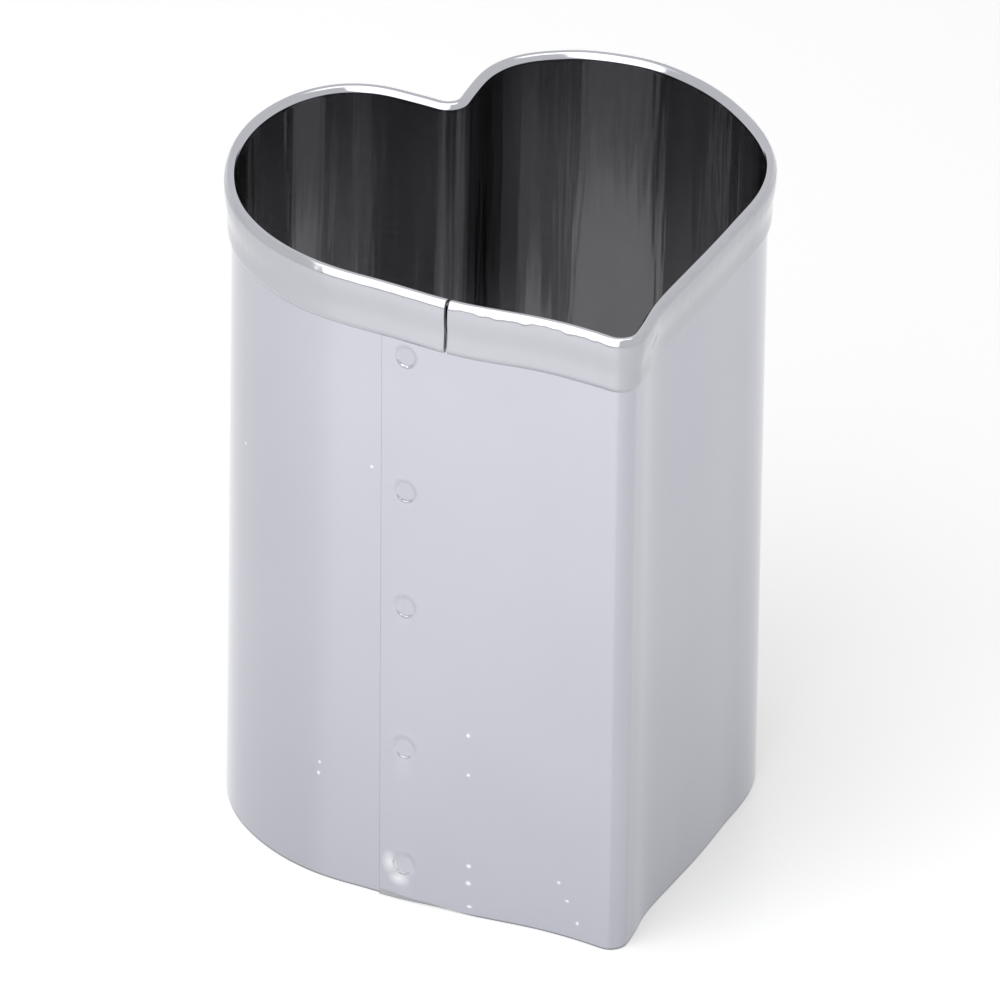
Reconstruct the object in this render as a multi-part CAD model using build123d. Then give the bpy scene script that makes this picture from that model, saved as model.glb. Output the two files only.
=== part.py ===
from build123d import *
import os
from math import cos, radians, sin

# Heart-shaped cookie cutter, open at both ends.
# One strip of stainless sheet is bent round to a heart. Its ends lap on one flank, where a row of
# spot welds joins the two layers. A band folded over the top edge makes the rolled rim, and its own
# ends meet in a slit above the lap. The bottom edge of the sheet is the cutting edge.
# Frame: +Z up, tip towards -Y, notch towards +Y, origin in the middle of the base.

# Driving dimensions in millimetres, angles in degrees
cutter_height = 60.0
sheet_thickness = 0.4

# The heart, measured on the outer face of the wall, from the tip to the notch
tip_radius = 1.4
tip_half_angle = 54.0
flank_radius = 45.0
flank_turn = 10.0
side_radius = 19.3
lobe_radius = 7.9
lobe_turn = 78.0
notch_run = 4.1
notch_radius = 1.5
notch_turn = 47.0

# The lap on the left flank, measured from the upper end of the straight flank
lap_setback = 1.9
lap_width = 5.9
lap_gap = 0.05
tuck_turn = 60.0

# The ground corner at the foot of the flap
bevel_length = 8.9
bevel_height = 0.8
bevel_land = 0.1

# The rolled rim
rim_height = 5.0
roll_hollow_radius = 0.15
rim_lip = 0.8
slit_width = 0.2

# The spot welds
weld_radius = 1.1
weld_from_flap_edge = 2.3
weld_dimple_depth = 0.12
weld_height_shares = (0.062, 0.253, 0.483, 0.67, 0.887)

# Worked out from the sizes above
flank_angle = tip_half_angle - flank_turn
side_turn = 180 + notch_turn - lobe_turn - flank_angle
roll_radius = sheet_thickness + roll_hollow_radius
wall_top = cutter_height - roll_radius
lap_depth = 2 * sheet_thickness + lap_gap
tuck = sheet_thickness + lap_gap
tuck_radius = side_radius - tuck / (1 - cos(radians(tuck_turn)))


def bend(radius, turn):
    """A stretch of the outline that turns left by turn degrees, or right where turn is negative."""
    return {"radius": radius, "turn": turn}


def run(length):
    """A straight stretch of the outline."""
    return {"length": length, "turn": 0}


def heading_vector(heading):
    return Vector(cos(radians(heading)), sin(radians(heading)), 0)


def outward_vector(heading):
    return Vector(sin(radians(heading)), -cos(radians(heading)), 0)


def march(stretches, start, heading):
    """Lay the stretches end to end and return each with its start, heading and centre."""
    laid = []
    for stretch in stretches:
        placed = dict(stretch, start=start, heading=heading)
        if stretch["turn"]:
            side = 1 if stretch["turn"] > 0 else -1
            placed["centre"] = start - outward_vector(heading) * (side * stretch["radius"])
            heading = heading + stretch["turn"]
            start = placed["centre"] + outward_vector(heading) * (side * stretch["radius"])
        else:
            start = start + heading_vector(heading) * stretch["length"]
        laid.append(placed)
    return laid, start, heading


def half_heart(flank_length):
    """The stretches from the tip to the notch, as the right half of the heart has them."""
    return [
        bend(tip_radius, tip_half_angle),
        bend(flank_radius, -flank_turn),
        run(flank_length),
        bend(side_radius, side_turn),
        bend(lobe_radius, lobe_turn),
        run(notch_run),
        bend(notch_radius, -notch_turn),
    ]


def close_heart():
    """The flank's straight length that brings the notch onto the centre plane."""
    _, end, _ = march(half_heart(0), Vector(0, 0, 0), 0)
    return -end.X / cos(radians(flank_angle))


flank_length = close_heart()
right_half = half_heart(flank_length)
left_half = list(reversed(right_half))
flank_to_tip = left_half[-2:]

# The tip is placed so that the heart's depth, from tip to lobe tops, is centred on the origin
right_laid, _, _ = march(right_half, Vector(0, 0, 0), 0)
lobe_top = right_laid[4]["centre"].Y + lobe_radius
tip_point = Vector(0, -lobe_top / 2, 0)

flank_dir = heading_vector(-flank_angle)
flank_out = outward_vector(-flank_angle)
_, flank_to_tip_reach, _ = march(flank_to_tip, Vector(0, 0, 0), -flank_angle)
flank_head = tip_point - flank_to_tip_reach - flank_dir * flank_length


def on_flank(from_head, out, height):
    """A point on the left flank: its distance down from the straight's upper end, out and up."""
    return flank_head + flank_dir * from_head + flank_out * out + Vector(0, 0, height)


def carry(section, stretches, start, heading):
    """Carry a section, drawn as outward distance and height, along a row of stretches."""
    pieces = []
    laid, _, _ = march(stretches, start, heading)
    for stretch in laid:
        direction = heading_vector(stretch["heading"])
        plane = Plane(stretch["start"], x_dir=outward_vector(stretch["heading"]), z_dir=-direction)
        face = plane * section
        if stretch["turn"]:
            side = 1 if stretch["turn"] > 0 else -1
            axis = Axis(stretch["centre"], (0, 0, side))
            pieces.append(revolve(face, axis=axis, revolution_arc=abs(stretch["turn"])))
        else:
            pieces.append(extrude(face, amount=stretch["length"], dir=direction))
    return Part() + pieces


def wall_section():
    """The sheet standing on its cutting edge, its outer face on the outline."""
    return make_face(
        Polyline(
            (-sheet_thickness, 0),
            (0, 0),
            (0, wall_top),
            (-sheet_thickness, wall_top),
            close=True,
        )
    )


def rim_section():
    """The band folded over the wall: a round roll, then a leg that closes onto the wall."""
    foot = cutter_height - rim_height
    lip = foot + rim_lip
    crest_out = roll_hollow_radius
    roll_in = (-sheet_thickness, wall_top)
    roll_out = (crest_out + roll_radius, wall_top)
    hollow_in = (0, wall_top)
    hollow_out = (crest_out + roll_hollow_radius, wall_top)
    roll = ThreePointArc(roll_in, (crest_out, cutter_height), roll_out)
    leg = Polyline(
        roll_out,
        (sheet_thickness, lip),
        (sheet_thickness, foot),
        (0, foot),
        (0, lip),
        hollow_out,
    )
    hollow = ThreePointArc(hollow_out, (crest_out, wall_top + roll_hollow_radius), hollow_in)
    seat = Line(hollow_in, roll_in)
    return make_face(Curve() + [roll, leg, hollow, seat])


def strip_stretches():
    """The strip from the flap's free edge, round the heart, to the end that is tucked inside."""
    flap_run = run(flank_length - lap_setback)
    tucked_side = [
        bend(side_radius, side_turn - tuck_turn),
        bend(tuck_radius, tuck_turn),
        run(lap_setback + lap_width + (side_radius - tuck_radius) * sin(radians(tuck_turn))),
    ]
    return [flap_run] + flank_to_tip + right_half + left_half[:3] + tucked_side


def rim_stretches():
    """The rim from one side of its slit round to the other."""
    first_run = run(flank_length - lap_setback - lap_width - slit_width / 2)
    last_run = run(lap_setback + lap_width - slit_width / 2)
    return [first_run] + flank_to_tip + right_half + left_half[:4] + [last_run]


def weld_axis_plane(share):
    """The plane on the flap's outer face that a spot weld is centred on, facing outward."""
    centre = on_flank(lap_setback + weld_from_flap_edge, 0, share * cutter_height)
    return Plane(centre, x_dir=flank_dir, z_dir=flank_out)


def weld_shaft(share):
    """The cylinder of fused metal through both layers."""
    return weld_axis_plane(share) * extrude(Circle(weld_radius), amount=-lap_depth)


def spot_weld(share):
    """A nugget of fused metal, dished on both faces where the electrodes pressed it."""
    dish_radius = (weld_radius**2 + weld_dimple_depth**2) / (2 * weld_dimple_depth)
    lift = dish_radius - weld_dimple_depth
    plane = weld_axis_plane(share)
    outer_dish = plane * Pos(0, 0, lift) * Sphere(dish_radius)
    inner_dish = plane * Pos(0, 0, -lap_depth - lift) * Sphere(dish_radius)
    return weld_shaft(share) - outer_dish - inner_dish


def foot_bevel():
    """The corner ground off the flap's foot, deepest at its free edge."""
    corners = [
        on_flank(lap_setback, 0, bevel_height),
        on_flank(lap_setback, bevel_land - sheet_thickness, 0),
        on_flank(lap_setback + bevel_length, 0, 0),
    ]
    face = make_face(Polyline(*corners, close=True))
    normal = face.faces()[0].normal_at()
    side = 1 if normal.dot(flank_out) > 0 else -1
    return extrude(face, amount=bevel_height, dir=normal * side)


def heart_wall():
    strip = carry(wall_section(), strip_stretches(), on_flank(lap_setback, 0, 0), -flank_angle)
    shafts = [weld_shaft(share) for share in weld_height_shares]
    return strip - shafts - foot_bevel()


def rolled_rim():
    slit_edge = lap_setback + lap_width + slit_width / 2
    return carry(rim_section(), rim_stretches(), on_flank(slit_edge, 0, 0), -flank_angle)


nodes = {"heart_wall": heart_wall(), "rolled_rim": rolled_rim()}
for number, share in enumerate(weld_height_shares, start=1):
    nodes[f"spot_weld_{number}"] = spot_weld(share)

os.makedirs("parts", exist_ok=True)
for name, shape in nodes.items():
    shape.label = name
    export_step(shape, f"parts/{name}.step")
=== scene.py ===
"""Looks of a heart-shaped cookie cutter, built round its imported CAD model.

The cutter is one strip of bright-rolled stainless sheet, bent to a heart. Its ends lap on the left
flank, where a row of spot welds joins them, and a band folded over the top edge makes the rim.
Each piece here is a surface on two parameters, the distance along the strip and the way up or
round its section, and stands for the CAD node of the same place and size.
"""

import math

import bpy
import numpy as np
from bpy.props import FloatProperty, FloatVectorProperty, PointerProperty
from bpy.types import Operator, Panel, PropertyGroup
from mathutils import Matrix, Vector


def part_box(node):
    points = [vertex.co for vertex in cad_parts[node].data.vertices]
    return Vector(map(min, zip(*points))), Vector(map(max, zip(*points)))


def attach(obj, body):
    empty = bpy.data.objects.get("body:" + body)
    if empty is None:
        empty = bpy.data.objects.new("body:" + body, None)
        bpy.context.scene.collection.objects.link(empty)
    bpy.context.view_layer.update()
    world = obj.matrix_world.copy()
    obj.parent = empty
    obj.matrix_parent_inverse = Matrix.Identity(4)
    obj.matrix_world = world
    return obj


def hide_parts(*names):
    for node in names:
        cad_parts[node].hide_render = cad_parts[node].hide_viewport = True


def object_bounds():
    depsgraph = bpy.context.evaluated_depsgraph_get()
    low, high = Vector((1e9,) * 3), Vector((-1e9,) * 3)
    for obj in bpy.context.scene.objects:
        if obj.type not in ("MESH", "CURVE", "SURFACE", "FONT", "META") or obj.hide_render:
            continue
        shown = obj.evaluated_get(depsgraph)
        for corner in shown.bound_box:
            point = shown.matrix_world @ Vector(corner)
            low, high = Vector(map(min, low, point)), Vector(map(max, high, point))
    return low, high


bl_info = {
    "name": "Heart Cookie Cutter",
    "version": (1, 0, 0),
    "blender": (4, 5, 0),
    "location": "3D View > Sidebar > Cutter",
    "description": "Dresses the frame of a heart-shaped cutter of bent stainless sheet",
    "category": "Add Mesh",
}

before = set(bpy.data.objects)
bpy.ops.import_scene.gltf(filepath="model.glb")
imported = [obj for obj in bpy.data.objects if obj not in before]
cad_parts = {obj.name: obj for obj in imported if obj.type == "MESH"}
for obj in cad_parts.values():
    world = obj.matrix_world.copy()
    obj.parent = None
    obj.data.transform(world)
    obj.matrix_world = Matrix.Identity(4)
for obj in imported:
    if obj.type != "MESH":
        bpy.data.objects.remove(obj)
CAD_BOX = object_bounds()
WALL_LOW, WALL_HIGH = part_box("heart_wall")
RIM_LOW, RIM_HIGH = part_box("rolled_rim")
WELD_NODES = sorted(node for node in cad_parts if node.startswith("spot_weld_"))

MM = 0.001


def length(name, description, default):
    """A size in metres."""
    return FloatProperty(
        name=name, description=description, default=default, unit="LENGTH", precision=5
    )


def angle(name, description, degrees):
    """An angle that is given in degrees and kept in radians."""
    return FloatProperty(
        name=name, description=description, default=math.radians(degrees), subtype="ANGLE"
    )


def number(name, description, default):
    """A share, a slope or a strength, which has no unit."""
    return FloatProperty(name=name, description=description, default=default, precision=4)


def linear(code):
    """The linear colour of an sRGB hex value: each channel goes through the sRGB curve."""
    channels = [int(code[i : i + 2], 16) / 255 for i in (1, 3, 5)]
    return tuple(c / 12.92 if c <= 0.04045 else ((c + 0.055) / 1.055) ** 2.4 for c in channels)


def colour(name, description, code):
    """A colour that is given as an sRGB hex value."""
    return FloatVectorProperty(
        name=name,
        description=description,
        default=linear(code),
        subtype="COLOR",
        size=3,
        min=0.0,
        max=1.0,
    )


class HeartSizes(PropertyGroup):
    """The heart's outline on the outer face of the sheet, from the tip to the notch."""

    tip_radius: length("Tip radius", "Bend at the heart's tip", 1.4 * MM)
    tip_half_angle: angle("Tip half angle", "Turn from the tip's middle to the flank", 54)
    flank_radius: length("Flank radius", "Hollow bend between the tip and the flank", 45 * MM)
    flank_turn: angle("Flank turn", "Turn of the hollow bend", 10)
    side_radius: length("Side radius", "Bend of the heart's side", 19.3 * MM)
    lobe_radius: length("Lobe radius", "Bend over the top of a lobe", 7.9 * MM)
    lobe_turn: angle("Lobe turn", "Turn over the top of a lobe", 78)
    notch_run: length("Notch run", "Straight stretch down into the notch", 4.1 * MM)
    notch_radius: length("Notch radius", "Bend at the notch", 1.5 * MM)
    notch_turn: angle("Notch turn", "Turn from the run to the notch's middle", 47)
    settle: length("Settle", "Length over which one bend eases into the next", 3 * MM)


class SheetSizes(PropertyGroup):
    """The strip of sheet, its lap and the ground corner at the lap's foot."""

    thickness: length("Thickness", "Thickness of the sheet", 0.4 * MM)
    lap_setback: length("Lap setback", "From the flank's head to the flap's edge", 1.7 * MM)
    lap_width: length("Lap width", "How far the two ends lap", 5.9 * MM)
    lap_gap: length("Lap gap", "Gap between the lapped layers", 0.05 * MM)
    skew: length("Skew", "How far the strip's foot is turned round the heart", 0.7 * MM)
    tuck_run: length("Tuck run", "Length over which the inner layer tucks in", 20 * MM)
    bevel_length: length("Bevel length", "Length of the ground corner along the foot", 8.9 * MM)
    bevel_height: length("Bevel height", "Height of the ground corner at the edge", 0.8 * MM)
    bevel_land: length("Bevel land", "Thickness that the grinding left at the foot", 0.1 * MM)
    edge_round: length("Edge round", "Wear on the sheared edges", 0.05 * MM)
    flap_round: length("Flap round", "Wear on the lap's upright edges", 0.16 * MM)
    ripple: number("Ripple", "Slope of the slight upright ripples left by bending", 0.006)
    twist: number("Twist", "Share of each ripple that drifts from foot to rim", 0.35)


class RimSizes(PropertyGroup):
    """The band folded over the top edge."""

    roll_width: length("Roll width", "Width of the roll", 1.1 * MM)
    outer_reach: length("Outer reach", "Width of the roll's outer shoulder", 0.31 * MM)
    outer_drop: length("Outer drop", "Height of the roll's outer shoulder", 0.62 * MM)
    cheek: length("Cheek", "Height of the upright face under that shoulder", 0.5 * MM)
    inner_reach: length("Inner reach", "Width of the roll's inner shoulder", 0.3 * MM)
    inner_drop: length("Inner drop", "Height of the roll's inner shoulder", 0.4 * MM)
    crown_fall: length("Crown fall", "Fall of the roll's flat top towards the inside", 0.06 * MM)
    inner_cheek: length("Inner cheek", "Height of the upright face inside the roll", 0.3 * MM)
    softness: number("Softness", "Share of a facet that its rounded corner takes", 0.28)
    closing: length("Closing", "Height over which the leg closes under the roll", 2.6 * MM)
    foot_drop: length("Foot drop", "How far the leg's thin edge hangs below", 0.3 * MM)
    foot_taper: length("Foot taper", "Height over which the leg thins to its edge", 0.55 * MM)
    foot_edge: length("Foot edge", "Thickness of the leg's edge", 0.16 * MM)
    swell: length("Swell", "How much the outer shoulder's height wanders along the rim", 0.3 * MM)
    rough_middle: length("Rough middle", "Middle of the rough stretch, from the flap", 13 * MM)
    rough_reach: length("Rough reach", "Half width of the rough stretch of the rim", 9 * MM)
    slit: length("Slit", "Gap between the rim's ends", 0.24 * MM)
    slit_shift: length("Slit shift", "From the inner layer's end to the slit's middle", 0.64 * MM)
    slit_lean: length("Slit lean", "How far the slit leans over the rim's height", 0.2 * MM)
    slit_wear: length("Slit wear", "Wear on the rim's ends", 0.12 * MM)
    crumple: length("Crumple", "Depth of the dents that folding left under the roll", 0.012 * MM)


class WeldSizes(PropertyGroup):
    """The spot welds of the lap."""

    radius: length("Radius", "Radius of the fused metal", 1.1 * MM)
    dimple_depth: length("Dimple depth", "Depth of the electrode's mark", 0.12 * MM)
    floor_share: number("Floor share", "Share of the mark that is its flat floor", 0.7)
    lip_height: length("Lip height", "Height of the metal squeezed up round the mark", 0.025 * MM)
    lip_width: length("Lip width", "Width of that metal", 0.22 * MM)
    shift: length("Shift", "How far the marks sit off the welds' middles", -0.15 * MM)
    skin: length("Skin", "How far the fused metal stands over the mark", 0.004 * MM)


class SteelLook(PropertyGroup):
    """Colours of the steel."""

    bright: colour("Bright", "Bright-rolled face", "#BBBCC4")
    shade: colour("Shade", "Slow clouds in the bright-rolled face", "#B6B7C0")
    # The inner face's colours are painted darker than the outer face's, as painted shade for the
    # dark inside
    inside: colour("Inside", "Inner face, which is a little duller", "#B2B2B4")
    inside_shade: colour("Inside shade", "Slow clouds in the inner face", "#AAAAAC")
    # The band's colours are painted a little darker than the bright face's, as painted shade on the
    # band
    rim: colour("Rim", "Folded band, a little darker from the folding", "#B8B9BF")
    rim_shade: colour("Rim shade", "Slow clouds in the folded band", "#B0B1B7")
    sheared: colour("Sheared", "Sheared edge of the sheet", "#B0B0B4")
    ground: colour("Ground", "Corner that was ground by hand", "#A6A8AC")
    # The weld colours hold a faint heat tint and are painted darker than the sheet, as painted
    # shade in the marks
    weld: colour("Weld", "Metal that the welding fused", "#B4B5BD")
    heat: colour("Heat", "Faint heat tint of the welds", "#B5B4BA")
    # The specks and the rubbed spot are real scuffs, painted near white so that they also make
    # painted glints
    mark: colour("Mark", "Bright specks and the rubbed spot", "#F6F4F5")
    # Painted shade: a dark colour for the contact shadow along the cutting edge and for the
    # darkening towards the foot
    painted_foot_shade: colour("Worn foot", "Worn line along the cutting edge", "#77787E")


class StageSettings(PropertyGroup):
    """Camera, lamps and floor."""

    azimuth: angle("Azimuth", "Turn of the camera about the upright axis", -20.42)
    elevation: angle("Elevation", "Height of the camera above the horizon", 30.08)
    roll: angle("Roll", "Turn of the camera about its line of sight", 0.89)
    distance: length("Distance", "From the camera to the middle of the cutter", 2042 * MM)
    aim_left: length("Aim left", "How far left of the cutter's middle the camera aims", 1.875 * MM)
    aim_up: length("Aim up", "How far above the cutter's middle the camera aims", 0.733 * MM)
    lens: number("Lens", "Focal length in millimetres for a 36 mm sensor", 862)
    floor_radius: length("Floor radius", "Radius of the floor", 3000 * MM)
    floor: colour("Floor", "White paper floor", "#F8F8F8")
    floor_lift: number("Floor lift", "White added to the floor for camera and steel", 0.45)
    ambient: number("Ambient", "Strength of the sky on matt surfaces", 0.05)
    top_light: number("Top light", "Radiance of the softbox overhead", 1.28)
    top_size: length("Top size", "Side of that softbox", 700 * MM)
    top_distance: length("Top distance", "From the cutter's foot to that softbox", 800 * MM)
    top_lift: angle("Top lift", "Height of that softbox above the horizon behind", 86)
    key_light: number("Key light", "Radiance of the softbox at the left", 1.32)
    key_size: length("Key size", "Side of that softbox", 320 * MM)
    key_distance: length("Key distance", "From the cutter's foot to that softbox", 300 * MM)
    key_azimuth: angle("Key azimuth", "Turn of that softbox about the upright axis", -58)
    key_lift: angle("Key lift", "Height of that softbox above the horizon", 45)


# The name on the scene that each group of settings goes by
GROUPS = {
    "cutter_heart": HeartSizes,
    "cutter_sheet": SheetSizes,
    "cutter_rim": RimSizes,
    "cutter_weld": WeldSizes,
    "cutter_steel": SteelLook,
    "cutter_stage": StageSettings,
}

# Where the hand-bent sheet is out of true, in millimetres: the bend's place round the heart from
# the tip, its half width, and how far it stands out at the foot and at the rim
BENDS = (
    (3.0, 2.4, 0.25, 0.2),
    (25.0, 5.0, -0.4, -0.2),
    (42.0, 5.5, -0.25, -0.33),
    (53.5, 3.0, 0.0, 0.2),
    (62.5, 3.2, 0.0, -0.36),
    (75.0, 2.0, 0.0, -0.15),
    (90.0, 3.0, 0.0, -0.18),
    (105.0, 5.0, -0.15, -0.18),
    (125.0, 8.0, 0.45, 0.0),
    (131.0, 3.0, 0.3, 0.0),
    (136.3, 6.5, 0.55, 0.8),
)

# Marks of use on the outer face, real scuffs painted near white so that they also make painted
# glints, in millimetres: distance from the flap's edge along the strip, height, half width, half
# height, and strength
SCUFFS_AND_GLINTS = (
    (8.3, 17.8, 0.22, 0.26, 1.0),
    (8.3, 13.9, 0.22, 0.2, 1.0),
    (8.35, 4.9, 0.28, 0.26, 1.0),
    (8.3, 3.2, 0.3, 0.3, 1.0),
    (8.4, 0.9, 0.3, 0.2, 1.0),
    (16.6, 5.2, 0.22, 0.22, 0.9),
    (17.4, 3.6, 0.26, 0.18, 0.9),
    (18.4, 1.7, 0.22, 0.26, 0.9),
    (1.1, 3.6, 0.9, 1.3, 0.5),
    (1.9, 2.2, 1.1, 0.8, 0.5),
    (145.6, 10.0, 0.22, 0.26, 1.0),
    (145.7, 11.1, 0.2, 0.2, 1.0),
    (150.7, 41.4, 0.24, 0.2, 0.8),
    (135.3, 37.6, 0.24, 0.2, 0.8),
)

# The outline: the share of a stretch that easing may take, and the rounds that close the heart
SETTLE_SHARE = 0.6
CLOSING_ROUNDS = 4

# The upright ripples: how many go round the heart, how far each one's phase drifts from foot to
# rim, and the start and the drift of its fading, in radians
RIPPLE_SEED = 7
RIPPLE_COUNTS = (8, 11, 13, 17, 22, 29, 41, 63)
RIPPLE_DRIFT = 2
FADE_START = 3
FADE_DRIFT = (1, 4)

# The foot of the wall: its rows as shares of the ground height, and how that height wanders
FOOT_ROWS = (0.0, 0.12, 0.3, 0.6, 0.9, 0.97, 1.0, 1.03)
GRIND_WANDER = 0.08
GRIND_WAVE = 0.7 * MM
TINY = 1e-9

# The rim: lengths of the waves in its shoulder, foot and dents, in millimetres, and their seeds
SHOULDER_WAVES, SHOULDER_SEED = (1.3, 2.1, 3.7, 6.1, 9.7), 5
FOOT_WAVES, FOOT_SEED = (8.3, 13.9, 31.0), 6
DENT_WAVES, DENT_SEED = (2.1, 3.3, 4.7, 6.9, 9.5), 12
# Shares of the swell outside the rough stretch and at the leg's foot
QUIET_SWELL = 0.15
FOOT_SWELL = 0.2
# A dent's drift down the section in radians per millimetre, the wave at which it is full, and how
# far above the foot and below the top it fades
DENT_DRIFT = 1.2
DENT_CREST = 2
DENT_FADE_FOOT = 2.5 * MM
DENT_FADE_TOP = 0.5 * MM
# The leg's rows in its lowest share and above it, and how far it stays off the wall
LEG_FOOT_SHARE = 0.2
LEG_ROWS = (9, 15)
LEG_CLEARANCE = 0.01 * MM
# How far from the slit its lean fades out
SLIT_BLEND = 4 * MM

# The nuggets: rings and sides of each face, and how sharply its skin dives at the border
WELD_RINGS = 14
WELD_SIDES = 40
SKIN_POWER = 8

# Patterns and painted shade in the steel and the paper, in millimetres where the name says so
CLOUD_MM = 14
GRAIN_STRETCH = 0.04
NOISE_LOW, NOISE_HIGH = 0.3, 0.7
FLUTE_WIDTH_MM, FLUTE_HEIGHT_MM = 1.8, 25
FLUTE_BUMP = 0.11 * MM
# Painted shade darker towards the foot: the height in millimetres where it ends, and its share at
# the foot
PAINTED_SHADE_TOP_MM, PAINTED_SHADE_SHARE = 50.0, 0.2
# Painted contact shadow along the cutting edge: the heights in millimetres where it is full and
# where it ends
FOOT_SHADOW_FULL_MM, FOOT_SHADOW_TOP_MM = 0.06, 0.22
TOOTH_MM = 1.5
TOOTH_BUMP = 0.02 * MM
PAPER_ROUGHNESS = 0.3

SENSOR_MM = 36
CLIP_RATIO = 10
FLOOR_SIDES = 128

# How finely the surfaces are drawn, and the angle past which two faces keep a sharp edge
TRACE_STEP = 0.02 * MM
SEARCH_STEP = 0.01 * MM
WALL_STEP = 0.6 * MM
WALL_ROW_STEP = 3 * MM
WALL_TURN_STEP = math.radians(5.5)
WELD_STEP = 0.18 * MM
WALL_EDGE_STEP = 0.02 * MM
RIM_STEP = 0.32 * MM
RIM_TURN_STEP = math.radians(3.5)
RIM_EDGE_STEP = 0.014 * MM
EDGE_MARGIN = 1.2
CORNER_ROWS = 9
SHARP = math.radians(38)


def ease(x):
    """Smooth step: 0 below 0, 1 above 1, and 3x² - 2x³ between them."""
    x = np.clip(x, 0, 1)
    return x * x * (3 - 2 * x)


def running_sum(rate, places):
    """The integral of rate over places by the trapezium rule, starting at 0."""
    areas = (rate[1:] + rate[:-1]) / 2 * np.diff(places)
    return np.concatenate(([0.0], np.cumsum(areas)))


def by_need(start, end, need):
    """Places from start to end, packed where need, in places per metre, is high.

    The running sum of need is cut into equal shares, and each cut is a place.
    """
    fine = np.linspace(start, end, int((end - start) / SEARCH_STEP) + 2)
    total = running_sum(need(fine), fine)
    shares = np.linspace(0, total[-1], int(math.ceil(total[-1])) + 1)
    return np.interp(shares, total, fine)


def edge_wear(distance, radius):
    """How far a worn edge falls back from its face: radius minus the height of a quarter circle."""
    left = np.clip(1 - distance / radius, 0, 1)
    return radius * (1 - np.sqrt(1 - left**2))


class Outline:
    """The heart's outline on the sheet's outer face, counter-clockwise from the middle of the tip.

    Its turning rate is constant along each stretch and eases into the next. The heading is the
    running sum of the rate, and the point is the running sum of the heading's cosine and sine.
    """

    def __init__(self, heart, tip_y):
        self.heart = heart
        flank_angle = heart.tip_half_angle - heart.flank_turn
        flank = heart.side_radius
        for _ in range(CLOSING_ROUNDS):
            self.trace(self.half(flank))
            flank -= self.x[-1] / math.cos(flank_angle)
        half = self.half(flank)
        self.trace(half + half[::-1])
        self.y += tip_y
        self.round = self.distance[-1]
        self.flank_head = self.round - sum(stretch for stretch, _ in half[:3])

    def half(self, flank):
        """Length and turn of each stretch from the tip to the notch."""
        heart = self.heart
        flank_angle = heart.tip_half_angle - heart.flank_turn
        side_turn = math.pi + heart.notch_turn - heart.lobe_turn - flank_angle
        return [
            (heart.tip_radius * heart.tip_half_angle, heart.tip_half_angle),
            (heart.flank_radius * heart.flank_turn, -heart.flank_turn),
            (flank, 0.0),
            (heart.side_radius * side_turn, side_turn),
            (heart.lobe_radius * heart.lobe_turn, heart.lobe_turn),
            (heart.notch_run, 0.0),
            (heart.notch_radius * heart.notch_turn, -heart.notch_turn),
        ]

    def trace(self, stretches):
        """Lay the stretches end to end from the origin."""
        sizes = np.array([stretch for stretch, _ in stretches])
        rates = np.array([turn for _, turn in stretches]) / sizes
        joints = np.cumsum(sizes)
        self.distance = np.linspace(0, joints[-1], int(joints[-1] / TRACE_STEP) + 2)
        self.rate = np.full_like(self.distance, rates[0])
        for i, joint in enumerate(joints[:-1]):
            width = min(self.heart.settle, SETTLE_SHARE * sizes[i], SETTLE_SHARE * sizes[i + 1])
            change = rates[i + 1] - rates[i]
            self.rate += change * ease((self.distance - joint) / width + 0.5)
        self.heading = running_sum(self.rate, self.distance)
        self.x = running_sum(np.cos(self.heading), self.distance)
        self.y = running_sum(np.sin(self.heading), self.distance)

    def at(self, name, along):
        """One of the outline's own values at these distances from the tip."""
        return np.interp(np.mod(along, self.round), self.distance, getattr(self, name))

    def place(self, along, out, height):
        """Outline point plus out times the outward direction, with height as z."""
        along, out, height = np.broadcast_arrays(along, out, height)
        heading = self.at("heading", along)
        x = self.at("x", along) + out * np.sin(heading)
        y = self.at("y", along) - out * np.cos(heading)
        return np.stack((x, y, height), axis=-1)

    def nearest(self, point):
        """Distance from the tip of the outline's point that is nearest to this one."""
        return self.distance[np.argmin((self.x - point.x) ** 2 + (self.y - point.y) ** 2)]


def ripple(outline, sheet, along, height):
    """Outward offset of the bent sheet: its bends out of true and upright waves of 2 to 20 mm.

    Each bend out of true is a bell along the strip whose height goes from its value at the foot
    to its value at the rim. Each wave is a sine of the way round the heart, so the two layers of
    the lap share it, and its phase drifts from the foot to the rim. All waves have the same slope.
    """
    rng = np.random.default_rng(RIPPLE_SEED)
    rise = height / WALL_HIGH.z
    offset = np.zeros(np.broadcast(along, height).shape)
    for place, width, at_foot, at_rim in BENDS:
        away = np.mod(along - place * MM + outline.round / 2, outline.round) - outline.round / 2
        size = (at_foot + (at_rim - at_foot) * rise) * MM
        offset = offset + size * np.exp(-((away / (width * MM)) ** 2))
    for count in RIPPLE_COUNTS:
        turn = 2 * math.pi * count / outline.round
        phase = rng.uniform(0, 2 * math.pi) + rng.uniform(-RIPPLE_DRIFT, RIPPLE_DRIFT) * rise
        fading = rng.uniform(0, FADE_START) + rng.uniform(*FADE_DRIFT) * rise
        fade = 1 - sheet.twist * np.sin(fading) ** 2
        height_of_wave = sheet.ripple / turn / math.sqrt(len(RIPPLE_COUNTS))
        offset = offset + height_of_wave * fade * np.sin(turn * along + phase)
    return offset


def skewed(sheet, height):
    """How far the strip is turned round the heart at a height: most at the foot, 0 at the top."""
    return sheet.skew * (1 - height / WALL_HIGH.z)


def weld_spots(scene, outline):
    """Distance round the outline and height of each weld, from the frame."""
    spots = []
    for node in WELD_NODES:
        low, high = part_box(node)
        middle = (low + high) / 2
        turned = scene.cutter_weld.shift + skewed(scene.cutter_sheet, middle.z)
        spots.append((outline.nearest(middle) + turned, middle.z))
    return spots


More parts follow.
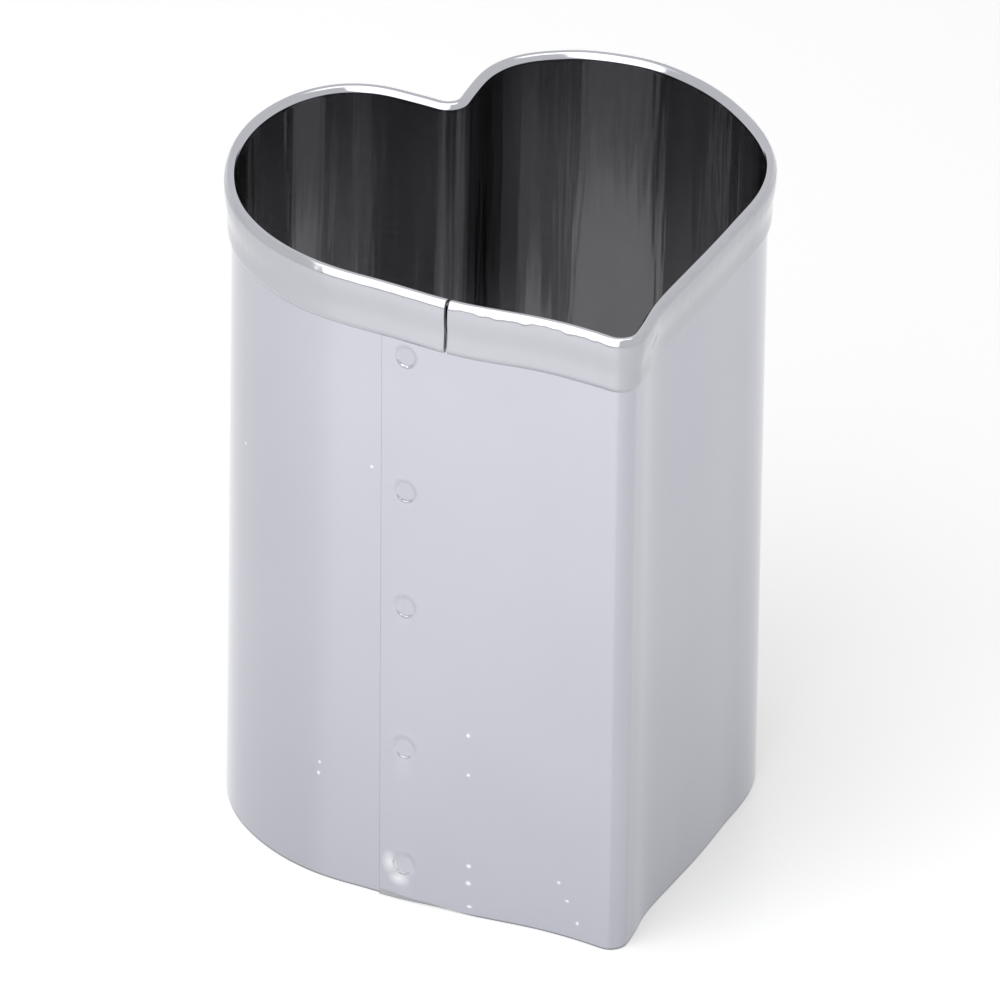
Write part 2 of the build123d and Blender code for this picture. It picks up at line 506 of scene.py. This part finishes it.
def dimple(weld, radius):
    """Height of an electrode's mark over the sheet, at a distance from its middle.

    A flat floor, an eased rise to the sheet and a low bell of squeezed metal round it.
    """
    floor = weld.radius * weld.floor_share
    pit = ease((radius - floor) / (weld.radius - floor)) - 1
    lip = np.exp(-(((radius - weld.radius - weld.lip_width) / weld.lip_width) ** 2))
    return weld.dimple_depth * pit + weld.lip_height * lip


def settings():
    """The sizes that a user can change, and the outline that they give."""
    scene = bpy.context.scene
    outline = Outline(scene.cutter_heart, WALL_LOW.y)
    return scene, outline


def shell(name, outer, inner, along, across, slots, slot_of):
    """A closed sheet between two grids of points with as many columns and rows as each other.

    Columns follow the strip and rows the section. The two grids are the sheet's faces, and
    strips of quads join their four borders. The UV map holds along and across, in metres.
    """
    columns, rows = outer.shape[:2]
    number_of = np.arange(columns * rows).reshape(columns, rows)
    o, i = number_of, number_of + columns * rows

    def quads(a, b, c, d):
        return np.stack((a, b, c, d), axis=-1).reshape(-1, 4)

    groups = {
        "outer": quads(o[:-1, :-1], o[1:, :-1], o[1:, 1:], o[:-1, 1:]),
        "inner": quads(i[:-1, :-1], i[:-1, 1:], i[1:, 1:], i[1:, :-1]),
        "foot": quads(o[:-1, 0], i[:-1, 0], i[1:, 0], o[1:, 0]),
        "top": quads(o[:-1, -1], o[1:, -1], i[1:, -1], i[:-1, -1]),
        "start": quads(o[0, :-1], o[0, 1:], i[0, 1:], i[0, :-1]),
        "end": quads(o[-1, :-1], i[-1, :-1], i[-1, 1:], o[-1, 1:]),
    }
    points = np.concatenate((outer.reshape(-1, 3), inner.reshape(-1, 3)))
    faces = np.concatenate(list(groups.values()))
    uv = np.stack(np.broadcast_arrays(along, across), axis=-1).reshape(-1, 2)
    uv = np.concatenate((uv, uv))
    slot_index = [slot_of(part, uv[group].mean(1)) for part, group in groups.items()]
    return mesh_piece(name, points, faces, uv, slots, np.concatenate(slot_index))


def mesh_piece(name, points, faces, uv, slots, slot_index):
    """Put points and quads, given as whole arrays, into a smooth mesh with a UV map."""
    mesh = bpy.data.meshes.new(name)
    mesh.vertices.add(len(points))
    mesh.vertices.foreach_set("co", points.astype(np.float32).ravel())
    mesh.loops.add(faces.size)
    mesh.loops.foreach_set("vertex_index", faces.astype(np.int32).ravel())
    mesh.polygons.add(len(faces))
    mesh.polygons.foreach_set("loop_start", np.arange(0, faces.size, 4, dtype=np.int32))
    mesh.update(calc_edges=True)
    mesh.polygons.foreach_set("use_smooth", np.ones(len(faces), dtype=bool))
    mesh.polygons.foreach_set("material_index", slot_index.astype(np.int32))
    layer = mesh.uv_layers.new(name="sheet")
    layer.data.foreach_set("uv", uv[faces.ravel()].astype(np.float32).ravel())
    for material in slots:
        mesh.materials.append(material)
    mesh.validate()
    mesh.set_sharp_from_angle(angle=SHARP)
    piece = bpy.data.objects.new(name, mesh)
    bpy.context.scene.collection.objects.link(piece)
    return piece


def stand_for(piece, node):
    """The piece takes the node's place on the frame's one body."""
    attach(piece, "root")
    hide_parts(node)


def heart_wall(scene, outline):
    """The strip, from the flap's free edge round the heart to the end tucked inside.

    Outer face: the outline at a distance along the strip plus the strip's skew, moved in by the
    tuck, the wear and the ground corner and out by the ripple and the weld marks, at heights from
    the foot up. Inner face: the same, one thickness in, with the marks of the inner layer.
    """
    sheet, weld = scene.cutter_sheet, scene.cutter_weld
    edge = outline.flank_head + sheet.lap_setback
    strip = outline.round + sheet.lap_width
    rim = scene.cutter_rim
    top = RIM_HIGH.z - rim.crown_fall - rim.inner_drop - rim.inner_cheek
    spots = weld_spots(scene, outline)
    spots = [(spot - edge - skewed(sheet, height), height) for spot, height in spots]
    laps = (0.0, outline.round)
    reach = weld.radius + 2 * weld.lip_width

    def column_need(t):
        need = 1 / WALL_STEP + np.abs(outline.at("rate", edge + t)) / WALL_TURN_STEP
        near_end = np.minimum(t, strip - t) < EDGE_MARGIN * sheet.flap_round
        need = need + near_end / WALL_EDGE_STEP
        for lap in laps:
            need = need + (np.abs(t - lap - spots[0][0]) < reach) / WELD_STEP
        return need

    def row_need(z):
        need = np.full_like(z, 1 / WALL_ROW_STEP)
        for _, height in spots:
            need = need + (np.abs(z - height) < reach) / WELD_STEP
        return need

    t = by_need(0, strip, column_need)[:, None]
    foot_rows = np.array(FOOT_ROWS)
    heights = by_need(foot_rows[-1] * sheet.edge_round, top, row_need)[1:]
    ground = sheet.bevel_height * np.clip(1 - t / sheet.bevel_length, 0, 1)
    ground = ground * (1 + GRIND_WANDER * np.sin(t / GRIND_WAVE))
    foot = np.maximum(ground, sheet.edge_round)
    z = np.concatenate((foot * foot_rows, foot + (top - foot) * heights / top), axis=1)

    tucked = ease((t - outline.round + sheet.tuck_run) / sheet.tuck_run)
    tuck = (sheet.thickness + sheet.lap_gap) * tucked
    along = edge + t + skewed(sheet, z)
    base = ripple(outline, sheet, along, z) - tuck
    wear = np.maximum(
        edge_wear(z, sheet.edge_round),
        edge_wear(np.minimum(t, strip - t), sheet.flap_round),
    )
    cut = (sheet.thickness - sheet.bevel_land) * np.clip(1 - z / np.maximum(ground, TINY), 0, 1)
    outer = base - np.maximum(wear, cut)
    inner = base - sheet.thickness + wear
    for spot, height in spots:
        outer = outer + dimple(weld, np.hypot(t - spot, z - height))
        inner = inner - dimple(weld, np.hypot(t - spot - outline.round, z - height))

    def slot_of(part, uv):
        if part == "outer":
            bevel = sheet.bevel_height * np.clip(1 - uv[:, 0] / sheet.bevel_length, 0, 1)
            return np.where(uv[:, 1] < bevel, 3, 0)
        return np.full(len(uv), {"inner": 1}.get(part, 2))

    return shell(
        "heart_wall_sheet",
        outline.place(along, outer, z),
        outline.place(along, inner, z),
        t,
        z,
        [make(scene) for make in (bright_outside, bright_inside, sheared_edge, ground_corner)],
        slot_of,
    )


def wander(t, sizes, seed):
    """A sum of sines of the way along the strip, with waves of these lengths, between -1 and 1."""
    rng = np.random.default_rng(seed)
    waves = [np.sin(2 * math.pi * t / (size * MM) + rng.uniform(0, 2 * math.pi)) for size in sizes]
    return sum(waves) / len(sizes)


def rounded(corners, share, rows):
    """Points along straight facets whose corners are cut by parabolas.

    A parabola starts and ends that share of the way from its corner to the corners beside it.
    """
    middle = corners[:, 1:-1, None]
    before = middle + share * (corners[:, :-2, None] - middle)
    after = middle + share * (corners[:, 2:, None] - middle)
    s = np.linspace(0, 1, rows)[:, None]
    curve = (1 - s) ** 2 * before + 2 * s * (1 - s) * middle + s**2 * after
    return curve.reshape(len(corners), -1, 2)


def rim_section(scene, t):
    """The band's outer face and its inner face, as outward distance and height, from the foot up.

    The leg thins to its edge at the foot and closes under the roll, both by an eased step. The
    roll is an upright cheek, a sloping shoulder, a flat crown, a shoulder and a cheek inside,
    joined by parabolas. Its outer shoulder's height wanders along the strip. The inner face is
    one thickness in along the section's normal, and on the leg no further in than the wall.
    """
    rim, thickness = scene.cutter_rim, scene.cutter_sheet.thickness
    top = RIM_HIGH.z
    widest = rim.roll_width - thickness
    lapped = np.exp(-(((t - rim.rough_middle) / rim.rough_reach) ** 2))
    rough = rim.swell * (QUIET_SWELL + lapped)
    drop = rim.outer_drop + rough * wander(t, SHOULDER_WAVES, SHOULDER_SEED)
    foot = RIM_LOW.z - rim.foot_drop + FOOT_SWELL * rim.swell * wander(t, FOOT_WAVES, FOOT_SEED)
    shoulder = top - rim.outer_drop - rim.cheek
    low_rows, high_rows = LEG_ROWS
    low_leg = np.linspace(0, LEG_FOOT_SHARE, low_rows)
    leg = np.concatenate((low_leg, np.linspace(LEG_FOOT_SHARE, 1, high_rows)[1:]))
    leg_z = foot + (shoulder - foot) * leg
    lean = (widest - thickness) * ease((leg_z - shoulder + rim.closing) / rim.closing)
    thinned = (thickness - rim.foot_edge) * (1 - ease((leg_z - foot) / rim.foot_taper))
    leg_out = thickness + lean - thinned

    below_crown = top - rim.crown_fall
    corners = (
        (widest, shoulder),
        (widest, top - drop),
        (widest - rim.outer_reach, top),
        (rim.inner_reach - thickness, below_crown),
        (-thickness, below_crown - rim.inner_drop),
        (-thickness, below_crown - rim.inner_drop - rim.inner_cheek),
    )
    corners = [np.concatenate(np.broadcast_arrays(out, up, t)[:2], axis=1) for out, up in corners]
    corners = np.stack(corners, axis=1)
    roll = rounded(corners, rim.softness, CORNER_ROWS)
    leg_points = np.stack((leg_out, leg_z), axis=-1)
    section = np.concatenate((leg_points, roll, corners[:, -1:]), axis=1)
    step = np.gradient(section, axis=1)
    step /= np.linalg.norm(step, axis=-1, keepdims=True)
    normal = np.stack((step[..., 1], -step[..., 0]), axis=-1)
    inner = section - thickness * normal
    on_leg = np.arange(section.shape[1]) < len(leg)
    inner[..., 0] = np.where(on_leg, np.maximum(inner[..., 0], LEG_CLEARANCE), inner[..., 0])
    return section, inner, normal


def rolled_rim(scene, outline):
    """The band, from one side of its slit round the heart to the other.

    Its section is carried along the outline, and its ends lean at the slit. Dents under the roll
    push the outer face in by a sum of sines along the strip whose phases drift down the section,
    squared to keep them apart.
    """
    sheet, rim = scene.cutter_sheet, scene.cutter_rim
    edge = outline.flank_head + sheet.lap_setback
    start = sheet.lap_width + rim.slit_shift + rim.slit / 2
    end = start + outline.round - rim.slit

    def column_need(t):
        need = 1 / RIM_STEP + np.abs(outline.at("rate", edge + t)) / RIM_TURN_STEP
        near_end = np.minimum(t - start, end - t) < EDGE_MARGIN * rim.slit_wear
        return need + near_end / RIM_EDGE_STEP

    t = by_need(start, end, column_need)[:, None]
    section, inner, normal = rim_section(scene, t)
    height = section[..., 1]
    steps = np.diff(section, axis=1, prepend=section[:, :1])
    way = np.cumsum(np.linalg.norm(steps, axis=-1), axis=1)
    rng = np.random.default_rng(DENT_SEED)
    wave = np.zeros(height.shape)
    for size in DENT_WAVES:
        phase = rng.uniform(0, 2 * math.pi) + rng.uniform(-DENT_DRIFT, DENT_DRIFT) * way / MM
        wave = wave + np.sin(2 * math.pi * t / (size * MM) + phase)
    below = ease((height - RIM_LOW.z) / DENT_FADE_FOOT)
    below = below * ease((RIM_HIGH.z - height) / DENT_FADE_TOP) * (section[..., 0] > 0)
    dent = rim.crumple * np.clip(wave / DENT_CREST, -1, 1) ** 2 * below
    from_slit = np.minimum(t - start, end - t)
    wear = np.maximum(edge_wear(from_slit, rim.slit_wear), edge_wear(way, sheet.edge_round))
    leaning = rim.slit_lean * (height - RIM_HIGH.z) / (RIM_HIGH.z - RIM_LOW.z)
    t = t + leaning * (1 - ease(from_slit / SLIT_BLEND))
    bow = np.stack((ripple(outline, sheet, edge + t, height), np.zeros(height.shape)), axis=-1)
    outer = section - (dent + wear)[..., None] * normal + bow
    inner = inner + wear[..., None] * normal + bow

    def slot_of(part, uv):
        return np.full(len(uv), 0 if part in ("outer", "inner") else 1)

    return shell(
        "rolled_rim_band",
        outline.place(edge + t, outer[..., 0], outer[..., 1]),
        outline.place(edge + t, inner[..., 0], inner[..., 1]),
        t,
        way,
        [bright_rim(scene), sheared_edge(scene)],
        slot_of,
    )


def spot_weld(scene, outline, node, along, height):
    """A nugget of fused metal: a profile of radius and outward distance turned about its axis.

    Its two faces follow the electrodes' marks a hair proud, and its side is inside the sheets.
    """
    sheet, weld = scene.cutter_sheet, scene.cutter_weld
    depth = 2 * sheet.thickness + sheet.lap_gap
    radius = np.linspace(0, weld.radius, WELD_RINGS)
    skin = weld.skin * (1 - 2 * (radius / weld.radius) ** SKIN_POWER)
    face = dimple(weld, radius) + skin
    radii = np.concatenate((radius, radius[::-1]))
    outs = np.concatenate((face, -depth - face[::-1]))
    turns = np.linspace(0, 2 * math.pi, WELD_SIDES, endpoint=False)
    around = along - radii[:, None] * np.cos(turns)
    up = height + radii[:, None] * np.sin(turns)
    out = outs[:, None] + ripple(outline, sheet, around, up)
    grid = outline.place(around, out, up)
    rows = np.arange(len(radii) * WELD_SIDES).reshape(len(radii), WELD_SIDES)
    after = np.roll(rows, -1, axis=1)
    faces = np.stack((rows[:-1], rows[1:], after[1:], after[:-1]), axis=-1).reshape(-1, 4)
    uv = np.stack((around - along, up - height), axis=-1).reshape(-1, 2)
    points, slots = grid.reshape(-1, 3), np.zeros(len(faces))
    return mesh_piece(f"{node}_nugget", points, faces, uv, [weld_face(scene)], slots)


def add(tree, kind, inputs=None, **options):
    """Add a node, set its options, and give each input a value or a link."""
    node = tree.nodes.new(kind)
    for name, value in options.items():
        setattr(node, name, value)
    for name, value in (inputs or {}).items():
        if isinstance(value, bpy.types.NodeSocket):
            tree.links.new(value, node.inputs[name])
        else:
            node.inputs[name].default_value = value
    return node


def new_material(name):
    """A material with an empty node tree."""
    material = bpy.data.materials.new(name)
    material.use_nodes = True
    material.node_tree.nodes.clear()
    return material, material.node_tree


def sheet_place(tree):
    """Where a point is on the sheet, in millimetres along the strip and up it."""
    uv = add(tree, "ShaderNodeUVMap", uv_map="sheet")
    return stretched(tree, uv.outputs[0], (1 / MM, 1 / MM, 1))


def stretched(tree, vector, scale):
    """The vector with each of its parts scaled."""
    return add(tree, "ShaderNodeMapping", {"Vector": vector, "Scale": scale}).outputs[0]


def steel(name, bright, shade, rough, grain_mm, bump):
    """Stainless steel: a clouded grey metal whose roughness follows the rolling grain.

    Cold-rolled sheet mirrors its surroundings softly, a little more across the grain, which runs
    along the strip. The grain is drawn coarser than the real one, to show in the render. The
    roughness goes between the two values of rough.
    """
    material, tree = new_material(name)
    place = sheet_place(tree)
    cloud = add(
        tree,
        "ShaderNodeTexNoise",
        {"Vector": place, "Scale": 1 / CLOUD_MM, "Detail": 3.0, "Roughness": 0.5},
        noise_dimensions="2D",
    )
    along_grain = stretched(tree, place, (GRAIN_STRETCH / grain_mm, 1 / grain_mm, 1))
    grain = add(
        tree,
        "ShaderNodeTexNoise",
        {"Vector": along_grain, "Scale": 1.0, "Detail": 4.0, "Roughness": 0.6},
        noise_dimensions="2D",
    )
    tint = add(
        tree,
        "ShaderNodeMix",
        {0: cloud.outputs[0], 6: (*bright, 1), 7: (*shade, 1)},
        data_type="RGBA",
    )
    roughness = add(
        tree,
        "ShaderNodeMapRange",
        {
            "Value": grain.outputs[0],
            "From Min": NOISE_LOW,
            "From Max": NOISE_HIGH,
            "To Min": rough[0],
            "To Max": rough[1],
        },
    )
    relief = {"Height": grain.outputs[0], "Distance": bump, "Strength": 1.0}
    height = add(tree, "ShaderNodeBump", relief)
    shader = add(
        tree,
        "ShaderNodeBsdfPrincipled",
        {
            "Base Color": tint.outputs[2],
            "Metallic": 1.0,
            "Roughness": roughness.outputs[0],
            "Normal": height.outputs[0],
        },
    )
    add(tree, "ShaderNodeOutputMaterial", {"Surface": shader.outputs[0]})
    return material


def scuff_and_glint_mask(tree, place):
    """1 in the middle of each of SCUFFS_AND_GLINTS, falling to 0 at its border."""
    # The scuffs' mask; their near-white paint also makes painted glints
    rubbed = 0.0
    for along, up, half_width, half_height, strength in SCUFFS_AND_GLINTS:
        spot = add(
            tree,
            "ShaderNodeMapping",
            {
                "Vector": place,
                "Location": (-along / half_width, -up / half_height, 0),
                "Scale": (1 / half_width, 1 / half_height, 1),
            },
        )
        bell = add(tree, "ShaderNodeTexGradient", {0: spot.outputs[0]}, gradient_type="SPHERICAL")
        mark = add(tree, "ShaderNodeMath", {0: bell.outputs[1], 1: strength}, operation="MULTIPLY")
        both = {0: rubbed, 1: mark.outputs[0]}
        rubbed = add(tree, "ShaderNodeMath", both, operation="MAXIMUM").outputs[0]
    return rubbed


def low_band(tree, place, full_mm, top_mm, share):
    """This share up to one height on the sheet, falling to 0 at another."""
    across = add(tree, "ShaderNodeSeparateXYZ", {0: place}).outputs[1]
    heights = {"Value": across, "From Min": full_mm, "From Max": top_mm}
    fall = add(tree, "ShaderNodeMapRange", {**heights, "To Min": share, "To Max": 0.0})
    return fall.outputs[0]


def shader_of(material):
    """The one shader of a material of steel."""
    return next(node for node in material.node_tree.nodes if node.type == "BSDF_PRINCIPLED")


def bright_outside(scene):
    """Bright-rolled stainless, outer face, with its marks of use and painted shade.

    It is painted faintly darker towards the foot, as painted shade for the shadowed floor near the
    cutter that it mirrors. It has bright specks and a rubbed spot, real scuffs painted near white,
    which also makes painted glints, and a thin painted contact shadow along the cutting edge.
    """
    look = scene.cutter_steel
    name = "bright_rolled_stainless_outside"
    tones = (look.bright, look.shade)
    material = steel(name, *tones, rough=(0.1, 0.14), grain_mm=0.12, bump=0.001 * MM)
    tree, shader = material.node_tree, shader_of(material)
    tint = shader.inputs["Base Color"].links[0].from_socket
    place = sheet_place(tree)
    masks = (
        # Painted shade: the face darker towards the foot
        (low_band(tree, place, 0.0, PAINTED_SHADE_TOP_MM, PAINTED_SHADE_SHARE), look.painted_foot_shade),
        # Scuffs painted near white, which also makes painted glints
        (scuff_and_glint_mask(tree, place), look.mark),
        # Painted contact shadow: a thin dark line along the cutting edge
        (low_band(tree, place, FOOT_SHADOW_FULL_MM, FOOT_SHADOW_TOP_MM, 1.0), look.painted_foot_shade),
    )
    for mask, tone in masks:
        mix = {0: mask, 6: tint, 7: (*tone, 1)}
        tint = add(tree, "ShaderNodeMix", mix, data_type="RGBA").outputs[2]
    tree.links.new(tint, shader.inputs["Base Color"])
    return material


def bright_inside(scene):
    """Bright-rolled stainless, inner face, kept cleaner than the outside.

    Bending left faint upright flutes, about 2 mm wide and 25 mm high, which streak what the
    inside mirrors. They are a bump of stretched noise over the grain.
    """
    # Its colours are painted darker than the outside's, as painted shade for the dark inside
    look = scene.cutter_steel
    name = "bright_rolled_stainless_inside"
    tones = (look.inside, look.inside_shade)
    material = steel(name, *tones, rough=(0.11, 0.15), grain_mm=0.12, bump=0.0005 * MM)
    tree, shader = material.node_tree, shader_of(material)
    grain = shader.inputs["Normal"].links[0].from_socket
    upright = stretched(tree, sheet_place(tree), (1 / FLUTE_WIDTH_MM, 1 / FLUTE_HEIGHT_MM, 1))
    flutes = add(
        tree,
        "ShaderNodeTexNoise",
        {"Vector": upright, "Scale": 1.0, "Detail": 2.0, "Roughness": 0.6},
        noise_dimensions="2D",
    )
    relief = {"Height": flutes.outputs[0], "Distance": FLUTE_BUMP, "Strength": 1.0, "Normal": grain}
    tree.links.new(add(tree, "ShaderNodeBump", relief).outputs[0], shader.inputs["Normal"])
    return material


def bright_rim(scene):
    """Bright-rolled stainless, folded: the fold polishes its crown."""
    # The band's colours are painted a little darker than the wall's, as painted shade on the band
    look = scene.cutter_steel
    name = "bright_rolled_stainless_rim"
    return steel(name, look.rim, look.rim_shade, rough=(0.08, 0.12), grain_mm=0.12, bump=0.001 * MM)


def sheared_edge(scene):
    """Sheared stainless edge, duller than the rolled faces."""
    look = scene.cutter_steel
    name = "sheared_stainless_edge"
    return steel(name, look.sheared, look.ground, rough=(0.3, 0.45), grain_mm=0.1, bump=0.004 * MM)


def ground_corner(scene):
    """Hand-ground stainless, with coarse scratches."""
    look = scene.cutter_steel
    name = "ground_stainless"
    return steel(name, look.ground, look.sheared, rough=(0.35, 0.5), grain_mm=0.08, bump=0.008 * MM)


def weld_face(scene):
    """Stainless pressed smooth by the welding electrode, faintly tinted by heat."""
    # Besides the heat tint, its colours are painted darker than the sheet, as painted shade in the
    # marks
    look = scene.cutter_steel
    name = "pressed_stainless_weld"
    return steel(name, look.weld, look.heat, rough=(0.12, 0.18), grain_mm=0.2, bump=0.001 * MM)


def straight_look(tree, path):
    """1 for what the camera sees, straight or through glass and metal, and 0 for matt light."""
    seen = add(
        tree,
        "ShaderNodeMath",
        {0: path.outputs["Is Camera Ray"], 1: path.outputs["Is Glossy Ray"]},
        operation="MAXIMUM",
    )
    seen = add(
        tree,
        "ShaderNodeMath",
        {0: seen.outputs[0], 1: path.outputs["Is Transmission Ray"]},
        operation="MAXIMUM",
    )
    unscattered = add(
        tree,
        "ShaderNodeMath",
        {0: path.outputs["Diffuse Depth"], 1: 0.5},
        operation="LESS_THAN",
    )
    return add(
        tree,
        "ShaderNodeMath",
        {0: seen.outputs[0], 1: unscattered.outputs[0]},
        operation="MULTIPLY",
    ).outputs[0]


def white_floor(stage):
    """Matt white paper, lifted alike for camera, metal and glass, which keeps the shadow."""
    material, tree = new_material("white_paper_floor")
    place = add(tree, "ShaderNodeTexCoord").outputs["Object"]
    tooth = add(
        tree,
        "ShaderNodeTexNoise",
        {"Vector": place, "Scale": 1 / (TOOTH_MM * MM), "Detail": 2.0},
    )
    height = add(tree, "ShaderNodeBump", {"Height": tooth.outputs[0], "Distance": TOOTH_BUMP})
    paper = add(
        tree,
        "ShaderNodeBsdfPrincipled",
        {
            "Base Color": (*stage.floor, 1),
            "Roughness": PAPER_ROUGHNESS,
            "Normal": height.outputs[0],
        },
    )
    path = add(tree, "ShaderNodeLightPath")
    lift = add(
        tree,
        "ShaderNodeMath",
        {0: straight_look(tree, path), 1: stage.floor_lift},
        operation="MULTIPLY",
    )
    glow = add(tree, "ShaderNodeEmission", {"Color": (1, 1, 1, 1), "Strength": lift.outputs[0]})
    both = add(tree, "ShaderNodeAddShader", {0: paper.outputs[0], 1: glow.outputs[0]})
    add(tree, "ShaderNodeOutputMaterial", {"Surface": both.outputs[0]})
    return material


def white_surroundings(stage):
    """A world that is white to the camera and in the steel, and softer on matt surfaces."""
    world = bpy.data.worlds.new("white_surroundings")
    world.use_nodes = True
    tree = world.node_tree
    tree.nodes.clear()
    path = add(tree, "ShaderNodeLightPath")
    strength = add(
        tree,
        "ShaderNodeMapRange",
        {"Value": straight_look(tree, path), "To Min": stage.ambient, "To Max": 1.0},
    )
    white = {"Color": (1, 1, 1, 1), "Strength": strength.outputs[0]}
    sky = add(tree, "ShaderNodeBackground", white)
    add(tree, "ShaderNodeOutputWorld", {"Surface": sky.outputs[0]})
    bpy.context.scene.world = world


def softbox(name, place, size, radiance):
    """A square lamp that faces the cutter's foot: its power is four times its area and radiance."""
    lamp = bpy.data.lights.new(name, "AREA")
    lamp.shape = "SQUARE"
    lamp.size = size
    lamp.energy = 4 * size * size * radiance
    box = bpy.data.objects.new(name, lamp)
    box.location = place
    box.rotation_euler = (-place).to_track_quat("-Z", "Y").to_euler()
    box.visible_camera = False
    bpy.context.scene.collection.objects.link(box)


def direction(azimuth, elevation):
    """Unit vector towards a viewer at that azimuth and elevation; azimuth 0 is -Y."""
    flat = math.cos(elevation)
    return Vector((math.sin(azimuth) * flat, -math.cos(azimuth) * flat, math.sin(elevation)))


def place_camera(stage):
    """Turn the camera so that its three axes are right, up and back, rolled about the last."""
    back = direction(stage.azimuth, stage.elevation)
    level_right = Vector((math.cos(stage.azimuth), math.sin(stage.azimuth), 0))
    level_up = back.cross(level_right)
    right = math.cos(stage.roll) * level_right + math.sin(stage.roll) * level_up
    up = back.cross(right)
    middle = Vector((0, 0, (CAD_BOX[0].z + CAD_BOX[1].z) / 2))
    place = middle - right * stage.aim_left + up * stage.aim_up + back * stage.distance
    data = bpy.data.cameras.new("camera")
    data.sensor_width = SENSOR_MM
    data.lens = stage.lens
    data.clip_start = stage.distance / CLIP_RATIO
    data.clip_end = stage.distance * CLIP_RATIO
    camera = bpy.data.objects.new("camera", data)
    turn = Matrix((right, up, back)).transposed()
    camera.matrix_world = Matrix.Translation(place) @ turn.to_4x4()
    bpy.context.scene.collection.objects.link(camera)
    bpy.context.scene.camera = camera


class CUTTER_OT_heart_wall(Operator):
    """Build the bent strip of sheet with its lap, weld marks and ground corner"""

    bl_idname = "cutter.heart_wall"
    bl_label = "Heart Wall"

    def execute(self, context):
        stand_for(heart_wall(*settings()), "heart_wall")
        return {"FINISHED"}


class CUTTER_OT_rolled_rim(Operator):
    """Build the band folded over the top edge"""

    bl_idname = "cutter.rolled_rim"
    bl_label = "Rolled Rim"

    def execute(self, context):
        stand_for(rolled_rim(*settings()), "rolled_rim")
        return {"FINISHED"}


class CUTTER_OT_spot_welds(Operator):
    """Build the row of spot welds of the lap"""

    bl_idname = "cutter.spot_welds"
    bl_label = "Spot Welds"

    def execute(self, context):
        scene, outline = settings()
        for node, (along, height) in zip(WELD_NODES, weld_spots(scene, outline)):
            stand_for(spot_weld(scene, outline, node, along, height), node)
        return {"FINISHED"}


class CUTTER_OT_stage(Operator):
    """Set up the floor, the lamps, the surroundings and the camera"""

    bl_idname = "cutter.stage"
    bl_label = "Stage"

    def execute(self, context):
        stage = context.scene.cutter_stage
        bpy.ops.mesh.primitive_circle_add(
            vertices=FLOOR_SIDES, radius=stage.floor_radius, fill_type="NGON"
        )
        floor = context.object
        floor.name = "paper_floor"
        floor.data.materials.append(white_floor(stage))
        white_surroundings(stage)
        top_place = direction(math.pi, stage.top_lift) * stage.top_distance
        softbox("top_softbox", top_place, stage.top_size, stage.top_light)
        key_place = direction(stage.key_azimuth, stage.key_lift) * stage.key_distance
        softbox("key_softbox", key_place, stage.key_size, stage.key_light)
        place_camera(stage)
        context.scene.view_settings.view_transform = "Standard"
        return {"FINISHED"}


class CUTTER_PT_cutter(Panel):
    """The cutter's pieces, in the order in which they are built"""

    bl_label = "Heart Cutter"
    bl_space_type = "VIEW_3D"
    bl_region_type = "UI"
    bl_category = "Cutter"

    def draw(self, context):
        for operator in OPERATORS:
            self.layout.operator(operator.bl_idname)


OPERATORS = (CUTTER_OT_heart_wall, CUTTER_OT_rolled_rim, CUTTER_OT_spot_welds, CUTTER_OT_stage)


def register():
    for group in GROUPS.values():
        bpy.utils.register_class(group)
    for name, group in GROUPS.items():
        setattr(bpy.types.Scene, name, PointerProperty(type=group))
    for operator in OPERATORS:
        bpy.utils.register_class(operator)
    bpy.utils.register_class(CUTTER_PT_cutter)


def unregister():
    bpy.utils.unregister_class(CUTTER_PT_cutter)
    for operator in reversed(OPERATORS):
        bpy.utils.unregister_class(operator)
    for name in GROUPS:
        delattr(bpy.types.Scene, name)
    for group in reversed(list(GROUPS.values())):
        bpy.utils.unregister_class(group)


def main():
    register()
    bpy.ops.cutter.heart_wall()
    bpy.ops.cutter.rolled_rim()
    bpy.ops.cutter.spot_welds()
    bpy.ops.cutter.stage()


if __name__ == "__main__":
    main()
